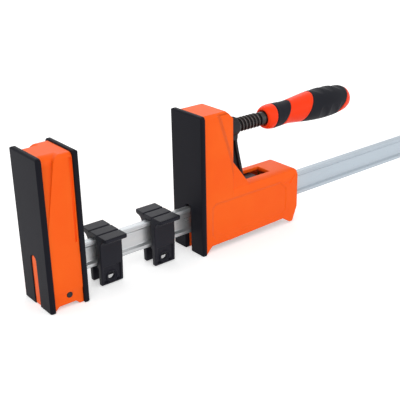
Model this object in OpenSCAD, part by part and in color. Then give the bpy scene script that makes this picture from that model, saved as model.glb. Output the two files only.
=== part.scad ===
// Parallel-jaw bar clamp: a fixed jaw on the end of an I-profile rail, a sliding
// jaw fed by a screw with a two-tone handle, two rail support clips and an end stop.
// X runs along the rail from the fixed jaw to the handle, +Z is up, z = 0 is the bench.

/* [Rail] */
// Height of the rail
rail_h = 30; // [28:1:32]
// Thickness of the rail over its top and bottom ribs
rail_t = 8; // [7:0.5:9]
// Thickness of the web between the ribs
rail_web_t = 5.2; // [3:0.2:6]
// Height of the rail's underside above the bench
rail_lift = 23; // [22:1:24]
// Largest opening between the two jaw faces
capacity = 610; // [300:10:1250]

/* [Jaws] */
// Opening between the jaw faces as the clamp is shown
opening = 148.8; // [148:0.1:200]
// Width of a jaw face
face_w = 54.6; // [52:0.2:60]
// Height of a jaw face
face_h = 163.8; // [162:0.2:170]
// Thickness of a jaw face
face_t = 6; // [4:0.5:8]
// Width of the slot in a jaw face that lets the rail through
slot_w = 10; // [9.5:0.5:11]
// Depth of the fixed jaw over both of its faces
fixed_jaw_d = 45.1; // [44:0.1:48]
// Width of the jaw housings
body_w = 50; // [48:1:52]
// Height of the jaw housings
body_h = 162.2; // [160:0.1:166]
// Wall thickness of the jaw housings
wall = 3.5; // [3:0.5:4]
// Depth of the moving jaw's column behind its front face
column_d = 41.4; // [38:0.1:44]
// Distance from the moving jaw's clamping face to the end of its tail
tail_end = 149.7; // [145:0.1:160]
// Height of the tail's top face
tail_h = 70.3; // [68:0.1:74]

/* [Screw and handle] */
// Height of the screw's axis above the bench
screw_z = 134.3; // [130:0.1:138]
// Outside diameter of the screw
screw_d = 17; // [14:1:18]
// Distance from the moving jaw's clamping face to the handle's collar
handle_start = 113; // [106:0.1:114]
// Length of the handle
handle_len = 142.7; // [140:0.1:170]
// Thickness of the soft grip moulded over the handle
grip_t = 2; // [1:0.5:2.5]
// Tilt of the edges between the two colours of the handle
stripe_tilt = 31; // [0:1:35]

/* [Rail clips] */
// Length of a clip along the rail
clip_len = 27; // [24:1:30]
// Width of a clip's platform
clip_w = 50; // [44:1:54]
// Place of the near clip's middle, from the fixed jaw's face
near_clip_x = 38; // [15:0.5:50]
// Place of the far clip's middle, from the fixed jaw's face
far_clip_x = 107.3; // [80:0.1:108]

/* [Hidden] */
$fn = 64;
eps = 0.01;
fit = 0.05;             // radial clearance of a pin or shaft in its hole
gap = 0.4;              // clearance of the sliding parts round the rail

rail_z = rail_lift;
rail_top = rail_lift + rail_h;
half_w = body_w / 2;
stop_gap = 2.5;
stop_len = 20.5;
rail_start = -33;
rail_end = capacity + tail_end + stop_gap + stop_len - 3;
model_end = rail_end + 3;
centre_x = (model_end - fixed_jaw_d) / 2;
slot_top = rail_top + 3.3;
back = -fixed_jaw_d + face_t;   // rear side of the fixed jaw's housing
column_x = face_t + column_d;   // rear side of the moving jaw's column

orange = "#ff6a1e";
handle_orange = "#ff4a20";
black = "#2e2e33";
dark_steel = "#3a3b3e";
bright_steel = "#c9cbd0";
cast_black = "#232327";
zinc_yellow = "#c9a24a";

// ---------- shared shapes ----------

// Side profile in X and Z, carried across from y0 to y1.
module side_prism(points, y0, y1)
    translate([0, y1, 0]) rotate([90, 0, 0]) linear_extrude(y1 - y0) polygon(points);

// Section in Y and Z, carried along from x0 to x1.
module rail_prism(points, x0, x1)
    translate([x0, 0, 0]) rotate([90, 0, 90]) linear_extrude(x1 - x0) polygon(points);

// Plan in X and Y, carried up from z0 to z1.
module plan_prism(points, z0, z1)
    translate([0, 0, z0]) linear_extrude(z1 - z0) polygon(points);

// Box between two corners.
module block(low, high) translate(low) cube(high - low);

// Round bar along Y, through (x, z).
module rod_y(x, z, r, y0, y1)
    translate([x, y1, z]) rotate([90, 0, 0]) cylinder(h = y1 - y0, r = r);

// Round bar along X, at height z.
module rod_x(z, r, x0, x1)
    translate([x0, 0, z]) rotate([0, 90, 0]) cylinder(h = x1 - x0, r = r);

// A shape and its mirror image across the mid-plane.
module both_sides() {
    children();
    mirror([0, 1, 0]) children();
}

// Points of a symmetric section from those of its +Y half, listed from top to bottom.
function mirrored(half) = concat(half, [for (i = [len(half) - 1:-1:0]) [-half[i][0], half[i][1]]]);

// Points of an arc round a centre.
function arc(cx, cy, r, from, to, steps = 6) =
    [for (i = [0:steps]) let (a = from + (to - from) * i / steps) [cx + r * cos(a), cy + r * sin(a)]];

// ---------- jaw faces ----------

// A jaw face lies from x = 0 to face_t, with its chamfered clamping side at x = 0.
module jaw_face() {
    corner = 4;
    edge = 1.5;
    w = face_w / 2;
    outline = mirrored(concat(arc(w - corner, face_h - corner, corner, 90, 0), [[w, 0]]));
    difference() {
        intersection() {
            rail_prism(outline, 0, face_t);
            side_prism([[0, -eps], [face_t, -eps], [face_t, face_h], [edge, face_h], [0, face_h - edge]], -w, w);
            plan_prism([[0, w - edge], [edge, w], [face_t, w], [face_t, -w], [edge, -w], [0, -w + edge]], 0, face_h);
        }
        rail_slot(-1, face_t + 1);
    }
}

// Slot with a round top that lets the rail through a jaw.
module rail_slot(x0, x1) {
    r = slot_w / 2;
    block([x0, -r, -1], [x1, r, slot_top - r]);
    rod_x(slot_top - r, r, x0, x1);
}

// ---------- rail and fixed jaw ----------

rivet_r = 4;
rivet_places = [[-25, 46], [-16, 30]];
cross_pin_r = 3.1;
cross_pin_place = [-21.3, 14];
core_half = 9.5;

module rail() {
    t = rail_t / 2;
    step = t - 0.7;
    web = rail_web_t / 2;
    half = [[t, rail_top], [t, rail_top - 2.6], [step, rail_top - 3.1], [step, rail_top - 5],
        [web, rail_top - 7], [web, rail_z + 6], [t, rail_z + 3.8], [t, rail_z]];
    color(bright_steel) difference() {
        rail_prism(mirrored(half), rail_start, rail_end);
        for (p = rivet_places) rod_y(p[0], p[1], rivet_r + fit, -rail_t, rail_t);
        rod_y(stop_screw_x, stop_screw_z, stop_screw_r + fit, -rail_t, rail_t);
    }
}

module fixed_jaw_housing() {
    front = -face_t;
    top_round = 5;
    swell = 0.5;            // how far the lower part stands out from the sides
    foot_inset = 0.6;
    rib = slot_w / 2 - 0.1;
    side = [[back, 0], [-37.6, 1], [-33.3, 4.5], [-14.6, 4.5], [-10.4, 0.6], [front, 0.6],
        [front, body_h], [back, body_h]];
    section = mirrored(concat(arc(half_w - top_round, body_h - top_round, top_round, 90, 0), [[half_w, 57],
        [half_w + swell, 56], [half_w + swell, 20], [half_w - foot_inset, 16], [half_w - foot_inset, 0]]));
    groove = concat(arc(-8.9, 69.9, 0.9, 180, 360), [[-6.6, 157.5], [-9.8, 157.5]]);
    color(orange) difference() {
        union() {
            intersection() {
                side_prism(side, -half_w - 1, half_w + 1);
                rail_prism(section, back, front);
            }
            // rib that fills the slot of the outer face
            block([1 - fixed_jaw_d, -rib, 1], [back + 1, rib, slot_top - slot_w / 2]);
            rod_x(slot_top - slot_w / 2, rib, 1 - fixed_jaw_d, back + 1);
        }
        both_sides() {
            shoulder_cut();
            // groove beside the clamping face
            side_prism(groove, half_w - 1.8, half_w + 1);
        }
        // hollow behind the clamping face and round the core
        block([-19.5, -half_w + wall, -1], [front - wall, half_w - wall, body_h - wall]);
        block([back + wall, -core_half, -1], [-19.5 + eps, core_half, body_h - wall]);
        rail_slot(front - wall - 1, front + 1);
        rod_y(cross_pin_place[0], cross_pin_place[1], cross_pin_r + fit, -half_w - 1, half_w + 1);
    }
}

// What the fixed jaw's upper rear loses on its +Y side: a panel that slopes in towards the
// top behind a slanted edge and rolls over into the top.
module shoulder_cut() {
    roll = 9.3;             // radius of the roll into the top
    roll_y = 12.3;
    turn = 10;              // radius of the slanted edge's turn at the top
    turn_x = -16.8;
    foot = [-40.2, 76];
    above = body_h + 2;
    out = half_w + 2;
    behind = back - 3;
    side = concat([[behind, foot[1]], foot], arc(turn_x, body_h - turn + 0.2, turn, 180, 90),
        [[turn_x, above], [behind, above]]);
    section = concat([[out, 40]], arc(roll_y, body_h - roll + 0.1, roll, 0, 90), [[roll_y, above], [out, above]]);
    intersection() {
        side_prism(side, 0, out);
        rail_prism(section, behind - 1, 0);
    }
}

module fixed_jaw_face() color(black) mirror([1, 0, 0]) jaw_face();

module fixed_jaw_back_face() color(black) translate([-fixed_jaw_d, 0, 0]) jaw_face();

// Steel head inside the fixed jaw: an I-section post with a forked foot riveted to the rail.
module fixed_jaw_core() {
    x0 = back + wall;
    x1 = -face_t - wall;
    top = body_h - wall;
    flange = 5;
    web = 3;
    color(dark_steel) difference() {
        block([x0, -core_half, 8], [x1, core_half, top]);
        both_sides() block([x0 + flange, web, 66], [x1 - flange, core_half + 1, top - 12]);
        block([rail_start, -rail_t / 2, rail_z], [x1 + 1, rail_t / 2, rail_top]);
        for (p = rivet_places) rod_y(p[0], p[1], rivet_r + fit, -core_half - 1, core_half + 1);
        rod_y(cross_pin_place[0], cross_pin_place[1], cross_pin_r + fit, -core_half - 1, core_half + 1);
    }
}

module rail_rivets() color(bright_steel)
    for (p = rivet_places) rod_y(p[0], p[1], rivet_r, -core_half, core_half);

module fixed_jaw_cross_pin() color(dark_steel)
    rod_y(cross_pin_place[0], cross_pin_place[1], cross_pin_r, -half_w, half_w);

// ---------- end stop ----------

stop_x0 = rail_end + 3 - stop_len;
stop_screw_x = stop_x0 + 9;
stop_screw_z = rail_z + rail_h / 2;
stop_screw_r = 2.5;

module rail_end_stop() {
    r = 6;
    x1 = model_end;
    side = concat([[stop_x0, 0], [x1, 0]], arc(x1 - r, rail_top + 8 - r, r, 0, 90), [[stop_x0, rail_top + 8]]);
    section = mirrored([[9, rail_top + 8], [12, rail_top + 5], [12, 26], [16, 14], [16, 0]]);
    color(black) difference() {
        intersection() {
            side_prism(side, -20, 20);
            rail_prism(section, stop_x0, x1);
        }
        block([stop_x0 - 1, -rail_t / 2, rail_z], [rail_end, rail_t / 2, rail_top]);
        block([stop_x0 + 4, -9, -1], [x1 - 4, 9, 12]);
        rod_y(stop_screw_x, stop_screw_z, stop_screw_r + fit, -20, 20);
        rod_y(stop_screw_x, stop_screw_z, 4.6, -20, -8.5);
    }
}

module end_stop_screw() color(bright_steel) {
    rod_y(stop_screw_x, stop_screw_z, stop_screw_r, -8.5, 11);
    rod_y(stop_screw_x, stop_screw_z, 4.4, -11.3, -8.5);
}

// ---------- rail clips ----------

clip_screw_r = 4;
clip_screw_z = 9;

// A clip stands round x = 0: a grooved platform over the rail with a leg on each side.
module rail_clip() {
    top = rail_top + 6;
    tip = clip_w / 2;
    inner = rail_t / 2 + gap;
    leg = 12.4;
    leg_foot = 11;
    panel = 9.6;
    frame = 3;
    flare = 8;
    half = concat([[6.8, top], [8, top - 2], [9.2, top], [tip - 2, top], [tip, top - 1.6], [tip, top - 3.6]],
        arc(leg + flare, rail_top - flare + 1, flare, 90, 180),
        [[leg, 30], [leg_foot, 1], [5.6, 1], [5.6, 20], [3.4, 21], [3.4, rail_z - gap], [inner, rail_z - gap],
        [inner, rail_top + gap]]);
    half_len = clip_len / 2;
    plan = rounded_plan(half_len, tip, 3.5);
    color(black) difference() {
        intersection() {
            rail_prism(mirrored(half), -half_len, half_len);
            plan_prism(plan, -1, top + 1);
        }
        // framed panel in each leg, with a raised ring round the screw hole
        both_sides() {
            difference() {
                block([-half_len + frame, panel, 3], [half_len - frame, leg + 1, 22]);
                rod_y(0, clip_screw_z, 7.2, 0, leg_foot);
            }
            rod_y(0, clip_screw_z, 5.4, panel, leg + 1);
        }
        rod_y(0, clip_screw_z, clip_screw_r, -leg - 1, leg + 1);
    }
}

// Plan of a rectangle with rounded corners, from its half lengths.
function rounded_plan(a, b, r) = concat(arc(a - r, b - r, r, 0, 90), arc(-a + r, b - r, r, 90, 180),
    arc(-a + r, -b + r, r, 180, 270), arc(a - r, -b + r, r, 270, 360));

module near_rail_clip() translate([near_clip_x, 0, 0]) rail_clip();

module far_rail_clip() translate([far_clip_x, 0, 0]) rail_clip();

// ---------- moving jaw, drawn with its clamping face at x = 0 ----------

arm_slot = 10.4;            // half width of the slot that the arm moves in
window_end = 116.4;
cheek_d = 10;               // depth of the cheeks beside the rail slot
tail_roof = 66;             // underside of the tail's top
column_back = [[column_x, 104.6], [column_x + 0.8, 153.2], [44, 157], [39.5, body_h]];

module moving_jaw_housing() {
    front_foot = [[face_t, 0], [8, 0], [11.5, 4.4], [15.5, 8]];
    tail_round = 6;
    tail_foot = concat([[127.6, 9.4], [137.9, 2.5], [142.7, 2.5], [tail_end, 20.5]],
        arc(tail_end - tail_round, tail_h - tail_round, tail_round, 0, 90));
    column = concat(front_foot, [[column_x, 8.4]], column_back, [[face_t, body_h]]);
    tail = concat([[column_x - 6, 8.3]], tail_foot, [[column_x - 6, tail_h]]);
    gusset = [[column_x - 4, 60], [73, 60], [73, tail_h], [67.2, 78.2], [46.9, 104.6], [column_x - 4, 109.8]];
    column_section = mirrored([[half_w - 5, body_h], [half_w, body_h - 3.5], [half_w, 0]]);
    tail_section = mirrored([[17, tail_h], [22.5, 68.3], [half_w, 61.5], [half_w, 0]]);
    facet = [[128.2, 56.2], [144.8, 62.3], [137.1, 53.2]];
    inner = half_w - wall;
    color(orange) difference() {
        union() {
            intersection() {
                side_prism(column, -half_w, half_w);
                rail_prism(column_section, 0, column_x + 1);
            }
            side_prism(gusset, -half_w + 3, half_w - 3);
            intersection() {
                side_prism(tail, -half_w, half_w);
                rail_prism(tail_section, 0, tail_end);
            }
        }
        both_sides() {
            column_bevel();
            side_prism(facet, half_w - 0.6, half_w + 1);
            rod_y(guide_screw_x, guide_screw_z, 2 + fit, slot_w / 2 - 1, half_w - wall - 4);
        }
        // hollow column, open at its back for the arm
        block([face_t + wall, -inner + 0.5, slot_top + 4], [column_x - wall, inner - 0.5, body_h - wall - 1]);
        block([column_x - wall - 1, -arm_slot, 60], [75, arm_slot, 152]);
        // hollow tail, open at the bottom and to the window in its top
        rail_prism(mirrored([[half_w - 7, tail_roof], [inner - 1, 60], [inner, 30], [inner, -1]]),
            face_t + cheek_d, tail_end - wall);
        block([60, -arm_slot, 60], [window_end, arm_slot, tail_h + 1]);
        rail_slot(face_t - 1, face_t + cheek_d + 1);
        // rear opening for the rail
        block([tail_end - wall - 1, -rail_t / 2 - 1.2, -1], [tail_end + 1, rail_t / 2 + 1.2, rail_top + 1.5]);
    }
}

// Shallow slanted bevel down the back edge of the column, on the +Y side.
module column_bevel() {
    edge_lean = 11;
    bevel_angle = 6.2;
    translate([31.2, half_w, body_h]) rotate([0, -edge_lean, 0]) rotate([0, 0, -bevel_angle])
        block([-5, 0, -88], [30, 10, 10]);
}

module moving_jaw_face() color(black) jaw_face();

guide_screw_x = 11;
guide_screw_z = 14;

module jaw_guide_screws() color(bright_steel) both_sides() {
    rod_y(guide_screw_x, guide_screw_z, 2, slot_w / 2 + 0.3, 16);
}

// Steel head inside the moving jaw: a plate that backs the clamping face, with the screw's
// socket and two legs that straddle the rail.
socket_r = 6;
shoulder_x = 32.3;

module moving_jaw_core() {
    x0 = face_t + wall;
    leg_x = face_t + cheek_d;
    guide = rail_t / 2 + gap;
    color(dark_steel) difference() {
        union() {
            block([x0, -half_w + wall + 0.5, slot_top + 4], [x0 + 6, half_w - wall - 0.5, 156]);
            block([x0 + 6 - eps, -4, slot_top + 4], [leg_x + 8, 4, screw_z - 8]);
            rod_x(screw_z, 12, x0 + 6, 30);
            block([leg_x, -12, 10], [42, 12, slot_top + 12]);
        }
        block([leg_x - 1, -guide, rail_z - gap], [43, guide, rail_top + gap]);
        rod_x(screw_z, socket_r + fit, 13, 31);
        rod_x(screw_z, 11, x0 - 1, 14);
    }
}

module thrust_washer() color(bright_steel) difference() {
    rod_x(screw_z, 11, 30, 32);
    rod_x(screw_z, socket_r + fit, 29, 33);
}

// ---------- arm ----------

boss_x0 = 50;
boss_x1 = 70.5;
boss_r = 10.8;
foot_x0 = 48.5;
foot_x1 = 107;
foot_top = 65.5;
grip_pin_r = 3;
grip_pin_places = [[92, rail_top + gap + 3.1], [56, rail_z - gap - 3.1]];

module sliding_arm() {
    sunk = foot_top - 5;
    outline = [[49.5, sunk], [81, sunk], [81, foot_top], [77.2, 83.3], [71.8, 106.8], [69.8, 117],
        [69.9, 119.6], [boss_x1, 122], [boss_x1, 140], [68.2, 143.6], [62.7, 147.8], [boss_x0, 148], [49.5, 140]];
    pocket = [[54, foot_top + 3], [76, foot_top + 3], [73.4, 82.4], [68, 105.9], [66, 116], [66, 119], [54, 119]];
    flange = 6;
    web = 2.5;
    guide = rail_t / 2 + gap;
    foot = [[foot_x0, 12], [foot_x1 - 8, 12], [foot_x1, 20], [foot_x1, foot_top - 3], [foot_x1 - 3, foot_top],
        [foot_x0, foot_top]];
    color(cast_black) difference() {
        union() {
            side_prism(outline, -flange, flange);
            side_prism(foot, -13, 13);
            rod_x(screw_z, boss_r, boss_x0, boss_x1);
        }
        both_sides() side_prism(pocket, web, flange + 1);
        block([foot_x0 - 1, -guide, rail_z - gap], [foot_x1 + 1, guide, rail_top + gap]);
        rod_x(screw_z, screw_d / 2 + fit, boss_x0 - 2, boss_x1 + 1);
        for (p = grip_pin_places) rod_y(p[0], p[1], grip_pin_r + fit, -14, 14);
    }
}

module arm_grip_pins() color(bright_steel)
    for (p = grip_pin_places) rod_y(p[0], p[1], grip_pin_r, -12.5, 12.5);

// Leaf spring on the back of the arm's foot: it bears on the top of the rail and turns up
// into a thumb tab under the rear end of the window.
spring_t = 0.8;
spring_z = foot_top - 8;

module arm_tilt_spring() {
    bend = foot_x1 + 2;
    heel = foot_x1 + 6;
    toe = foot_x1 + 9;
    under = rail_top + 0.5;
    leaf_top = foot_top - 3.5;
    leaf = [[foot_x1, spring_z], [bend, spring_z], [heel, under], [toe, under + 0.9],
        [toe, under + 0.9 + spring_t], [heel, under + spring_t], [bend + 0.4, spring_z + spring_t],
        [foot_x1 + spring_t, spring_z + spring_t], [foot_x1 + spring_t, leaf_top], [foot_x1, leaf_top]];
    color(zinc_yellow) {
        side_prism(leaf, -3.5, 9.5);
        block([toe - spring_t, 4.8, under + 1], [toe, 9.5, foot_top - 0.2]);
    }
}

// Screw that clamps the leaf spring, with its long head standing back into the window.
module tilt_spring_screw() color(bright_steel) translate([0, 1.8, 0]) {
    rod_x(foot_top - 5.4, 1.6, foot_x1 + spring_t, foot_x1 + 6.5);
    rod_x(foot_top - 5.4, 2.4, foot_x1 + 6.4, foot_x1 + 8.4);
}

// ---------- screw and handle ----------

spindle_end = handle_start + 80;

module spindle() {
    color(dark_steel) difference() {
        union() {
            rod_x(screw_z, socket_r, 10.2, shoulder_x + 1);
            rod_x(screw_z, screw_d / 2, shoulder_x, spindle_end);
        }
        difference() {
            rod_x(screw_z, 10, 11.1, 12.7);
            rod_x(screw_z, 4.2, 11, 13);
        }
    }
}

module spindle_retaining_ring() color(bright_steel) difference() {
    rod_x(screw_z, 9.5, 11.2, 12.6);
    rod_x(screw_z, 4.2 + fit, 11, 13);
}

// Outline of the handle: distance from the collar as a part of the length, and radius.
handle_stations = [[0, 10.2], [0.008, 11.8], [0.024, 13.2], [0.07, 14.6], [0.144, 14.4], [0.247, 13.8],
    [0.371, 15.6], [0.505, 17.7], [0.655, 18.9], [0.783, 18.5], [0.875, 16.9], [0.937, 15], [0.979, 11], [1, 5]];

function handle_outline(inset) = [for (s = handle_stations) [s[0] * handle_len, s[1] - inset]];

// Solid of the handle's outline turned about the screw, drawn in by inset.
module handle_body(inset = 0)
    translate([handle_start, 0, screw_z]) rotate([0, 90, 0]) rotate_extrude()
        rotate(90) mirror([0, 1]) polygon(concat([[0, 0]], handle_outline(inset), [[handle_len, 0]]));

// Everything towards the jaw from a tilted plane through the screw's axis at x.
module before_edge(x, tilt)
    translate([x, 0, screw_z]) rotate([-12, 0, 0]) rotate([0, tilt, 0])
        translate([-300, -60, -60]) cube([300, 120, 120]);

band_start = 125.5;
band_start_tilt = 10;
band_end = 146;
grip_start = 179.2;
grip_end = 240.5;
grip_end_tilt = 29;

// Space of the soft grip between two coloured edges, outside the core's drawn-in outline.
module grip_space(x0, tilt0, x1, tilt1) difference() {
    intersection() {
        rod_x(screw_z, 30, handle_start - 5, handle_start + handle_len + 5);
        before_edge(x1, tilt1);
    }
    handle_body(grip_t);
    before_edge(x0, tilt0);
}

module handle_front_band() color(black) difference() {
    intersection() {
        handle_body();
        before_edge(band_end, stripe_tilt);
    }
    handle_body(grip_t);
    before_edge(band_start, band_start_tilt);
}

module handle_rear_grip() color(black) difference() {
    intersection() {
        handle_body();
        before_edge(grip_end, grip_end_tilt);
    }
    handle_body(grip_t);
    before_edge(grip_start, stripe_tilt);
}

module handle_core() color(handle_orange) difference() {
    handle_body();
    grip_space(band_start, band_start_tilt, band_end, stripe_tilt);
    grip_space(grip_start, stripe_tilt, grip_end, grip_end_tilt);
    rod_x(screw_z, screw_d / 2 + fit, handle_start - 1, spindle_end + 0.1);
}

// ---------- assembly ----------

module on_rail() translate([-centre_x, 0, 0]) children();

module on_moving_jaw() translate([opening - centre_x, 0, 0]) children();

on_rail() rail();
on_rail() fixed_jaw_housing();
on_rail() fixed_jaw_core();
on_rail() fixed_jaw_face();
on_rail() fixed_jaw_back_face();
on_rail() rail_rivets();
on_rail() fixed_jaw_cross_pin();
on_rail() rail_end_stop();
on_rail() end_stop_screw();
on_rail() near_rail_clip();
on_rail() far_rail_clip();
on_moving_jaw() moving_jaw_housing();
on_moving_jaw() moving_jaw_face();
on_moving_jaw() moving_jaw_core();
on_moving_jaw() thrust_washer();
on_moving_jaw() jaw_guide_screws();
on_moving_jaw() sliding_arm();
on_moving_jaw() arm_grip_pins();
on_moving_jaw() arm_tilt_spring();
on_moving_jaw() tilt_spring_screw();
on_moving_jaw() spindle();
on_moving_jaw() spindle_retaining_ring();
on_moving_jaw() handle_core();
on_moving_jaw() handle_front_band();
on_moving_jaw() handle_rear_grip();
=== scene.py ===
"""Looks of a parallel-jaw bar clamp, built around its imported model.

All lengths are in metres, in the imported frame: X runs along the rail from the
fixed jaw towards the handle, Z is up, and the bench lies at z = 0.
"""

import logging
import math
from dataclasses import dataclass, field
from enum import Enum

import bmesh
import bpy
import numpy as np
from mathutils import Euler, Matrix, Vector


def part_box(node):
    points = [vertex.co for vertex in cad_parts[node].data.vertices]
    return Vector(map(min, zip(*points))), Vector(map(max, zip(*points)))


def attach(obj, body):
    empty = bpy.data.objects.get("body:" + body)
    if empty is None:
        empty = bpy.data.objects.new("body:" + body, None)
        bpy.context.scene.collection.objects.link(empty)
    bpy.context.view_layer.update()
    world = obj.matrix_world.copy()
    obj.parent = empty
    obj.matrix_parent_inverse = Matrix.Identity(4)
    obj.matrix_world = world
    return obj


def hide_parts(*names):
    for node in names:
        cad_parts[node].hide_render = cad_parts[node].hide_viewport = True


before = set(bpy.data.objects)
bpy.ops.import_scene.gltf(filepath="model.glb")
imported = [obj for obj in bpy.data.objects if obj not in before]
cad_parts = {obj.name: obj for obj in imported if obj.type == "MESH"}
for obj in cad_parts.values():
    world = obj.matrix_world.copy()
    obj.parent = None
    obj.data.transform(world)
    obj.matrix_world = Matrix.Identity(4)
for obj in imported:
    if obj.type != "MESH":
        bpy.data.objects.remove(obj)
LOG = logging.getLogger("clamp")
MM = 0.001
JAW_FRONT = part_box("moving_jaw_face")[0][0]
SCREW_LOW, SCREW_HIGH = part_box("spindle")
SCREW_Z = (SCREW_LOW[2] + SCREW_HIGH[2]) / 2
SCREW_RADIUS = (SCREW_HIGH[2] - SCREW_LOW[2]) / 2


class Axis(Enum):
    """Direction that a finish's marks run in."""

    ALONG_RAIL = (0.04, 1.0, 1.0)
    ALL_ROUND = (1.0, 1.0, 1.0)


def linear(code: str) -> tuple[float, float, float, float]:
    """Turns a screen colour into the linear colour that shaders take.

    Args:
        code: Six hexadecimal digits, as in "ff6a1e".

    Returns:
        Red, green, blue and alpha, in linear light.
    """
    parts = [int(code[i : i + 2], 16) / 255 for i in (0, 2, 4)]
    bright = [c / 12.92 if c <= 0.04045 else ((c + 0.055) / 1.055) ** 2.4 for c in parts]
    return (*bright, 1.0)


# ---------- node graphs and finishes ----------


class Graph:
    """A material's node tree, with short calls for the nodes that the finishes share."""

    def __init__(self, name: str) -> None:
        """Starts a material with a principled shader and its output.

        Args:
            name: The material's name.
        """
        self.material = bpy.data.materials.new(name)
        self.material.use_nodes = True
        self.tree = self.material.node_tree
        self.tree.nodes.clear()
        self.shader = self.tree.nodes.new("ShaderNodeBsdfPrincipled")
        out = self.tree.nodes.new("ShaderNodeOutputMaterial")
        self.tree.links.new(self.shader.outputs[0], out.inputs[0])
        self.coords = self.tree.nodes.new("ShaderNodeTexCoord").outputs["Object"]

    def link(self, source: bpy.types.NodeSocket, target: bpy.types.NodeSocket) -> None:
        """Joins two sockets."""
        self.tree.links.new(source, target)

    def put(self, **values: object) -> None:
        """Sets sockets of the shader, from numbers, colours or other sockets.

        Args:
            values: Socket names with underscores for spaces, and what each takes.
        """
        for key, value in values.items():
            socket = self.shader.inputs[key.replace("_", " ")]
            if isinstance(value, bpy.types.NodeSocket):
                self.link(value, socket)
            else:
                socket.default_value = value

    def stretched(self, scale: tuple[float, float, float]) -> bpy.types.NodeSocket:
        """Gives the object's coordinates, scaled along each axis.

        Args:
            scale: Factors along X, Y and Z.

        Returns:
            The vector's socket.
        """
        node = self.tree.nodes.new("ShaderNodeMapping")
        node.inputs["Scale"].default_value = scale
        self.link(self.coords, node.inputs["Vector"])
        return node.outputs[0]

    def from_axis(self, height: float) -> bpy.types.NodeSocket:
        """Gives the distance from a line along X.

        Args:
            height: The line's height above the bench.

        Returns:
            The distance in metres, as the square root of y squared + (z - height) squared.
        """
        centred = self.tree.nodes.new("ShaderNodeVectorMath")
        centred.operation = "SUBTRACT"
        centred.inputs[1].default_value = (0, 0, height)
        self.link(self.stretched((0, 1, 1)), centred.inputs[0])
        length = self.tree.nodes.new("ShaderNodeVectorMath")
        length.operation = "LENGTH"
        self.link(centred.outputs["Vector"], length.inputs[0])
        return length.outputs["Value"]

    def calculated(self, operation: str, first: bpy.types.NodeSocket,
                   second: bpy.types.NodeSocket | float = 0.0) -> bpy.types.NodeSocket:
        """Works out a value from one or two others.

        Args:
            operation: The math node's operation.
            first: Its first value.
            second: Its second value, which an operation on one value leaves unused.

        Returns:
            The result's socket.
        """
        node = self.tree.nodes.new("ShaderNodeMath")
        node.operation = operation
        self.link(first, node.inputs[0])
        if isinstance(second, bpy.types.NodeSocket):
            self.link(second, node.inputs[1])
        else:
            node.inputs[1].default_value = second
        return node.outputs[0]

    def along(self, axis: str) -> bpy.types.NodeSocket:
        """Gives the place along one axis.

        Args:
            axis: "X", "Y" or "Z".

        Returns:
            The coordinate in metres.
        """
        node = self.tree.nodes.new("ShaderNodeSeparateXYZ")
        self.link(self.coords, node.inputs[0])
        return node.outputs[axis]

    def beside(self, first: tuple[float, float], second: tuple[float, float]) -> bpy.types.NodeSocket:
        """Gives the distance from a line in side view, above 0 on its right.

        Args:
            first: X and Z of a point on the line.
            second: X and Z of a later point on it.

        Returns:
            The distance in metres, as (x - x0) * dz / length - (z - z0) * dx / length.
        """
        run = np.subtract(second, first)
        across = np.array([run[1], 0.0, -run[0]]) / np.linalg.norm(run)
        node = self.tree.nodes.new("ShaderNodeVectorMath")
        node.operation = "DOT_PRODUCT"
        node.inputs[1].default_value = across.tolist()
        self.link(self.coords, node.inputs[0])
        start = float(across[0] * first[0] + across[2] * first[1])
        return self.calculated("SUBTRACT", node.outputs["Value"], start)

    def noise(self, size: float, detail: float = 2.0, axis: Axis = Axis.ALL_ROUND) -> bpy.types.NodeSocket:
        """Adds a noise whose grains are about size metres across.

        Args:
            size: Width of a grain.
            detail: Octaves of finer noise.
            axis: Direction in which the grains are drawn out.

        Returns:
            The noise's value, from 0 to 1.
        """
        node = self.tree.nodes.new("ShaderNodeTexNoise")
        node.inputs["Scale"].default_value = 1.0 / size
        node.inputs["Detail"].default_value = detail
        self.link(self.stretched(axis.value), node.inputs["Vector"])
        return node.outputs["Fac"]

    def ranged(self, value: bpy.types.NodeSocket, low: float, high: float,
               start: float = 0.3, end: float = 0.7) -> bpy.types.NodeSocket:
        """Maps a value onto a range, held at its ends.

        Args:
            value: The value.
            low: What it gives at start and below.
            high: What it gives at end and above.
            start: Where the change begins.
            end: Where it is complete.

        Returns:
            low + (high - low) * (value - start) / (end - start).
        """
        node = self.tree.nodes.new("ShaderNodeMapRange")
        for key, number in zip(("From Min", "From Max", "To Min", "To Max"), (start, end, low, high)):
            node.inputs[key].default_value = number
        self.link(value, node.inputs["Value"])
        return node.outputs[0]

    def blend(self, factor: bpy.types.NodeSocket, first: object, second: object) -> bpy.types.NodeSocket:
        """Mixes two colours.

        Args:
            factor: 0 for the first colour, 1 for the second.
            first: A linear colour or a socket.
            second: Another.

        Returns:
            The mixed colour's socket.
        """
        node = self.tree.nodes.new("ShaderNodeMix")
        node.data_type = "RGBA"
        self.link(factor, node.inputs[0])
        for socket, value in ((node.inputs[6], first), (node.inputs[7], second)):
            if isinstance(value, bpy.types.NodeSocket):
                self.link(value, socket)
            else:
                socket.default_value = value
        return node.outputs[2]

    def bumps(self, *layers: tuple[bpy.types.NodeSocket, float]) -> bpy.types.NodeSocket:
        """Stacks heights into one normal.

        Args:
            layers: Pairs of a height from 0 to 1 and its depth in metres.

        Returns:
            The normal socket of the last layer.
        """
        normal = None
        for height, depth in layers:
            node = self.tree.nodes.new("ShaderNodeBump")
            node.inputs["Distance"].default_value = depth
            self.link(height, node.inputs["Height"])
            if normal is not None:
                self.link(normal, node.inputs["Normal"])
            normal = node.outputs[0]
        return normal


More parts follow.
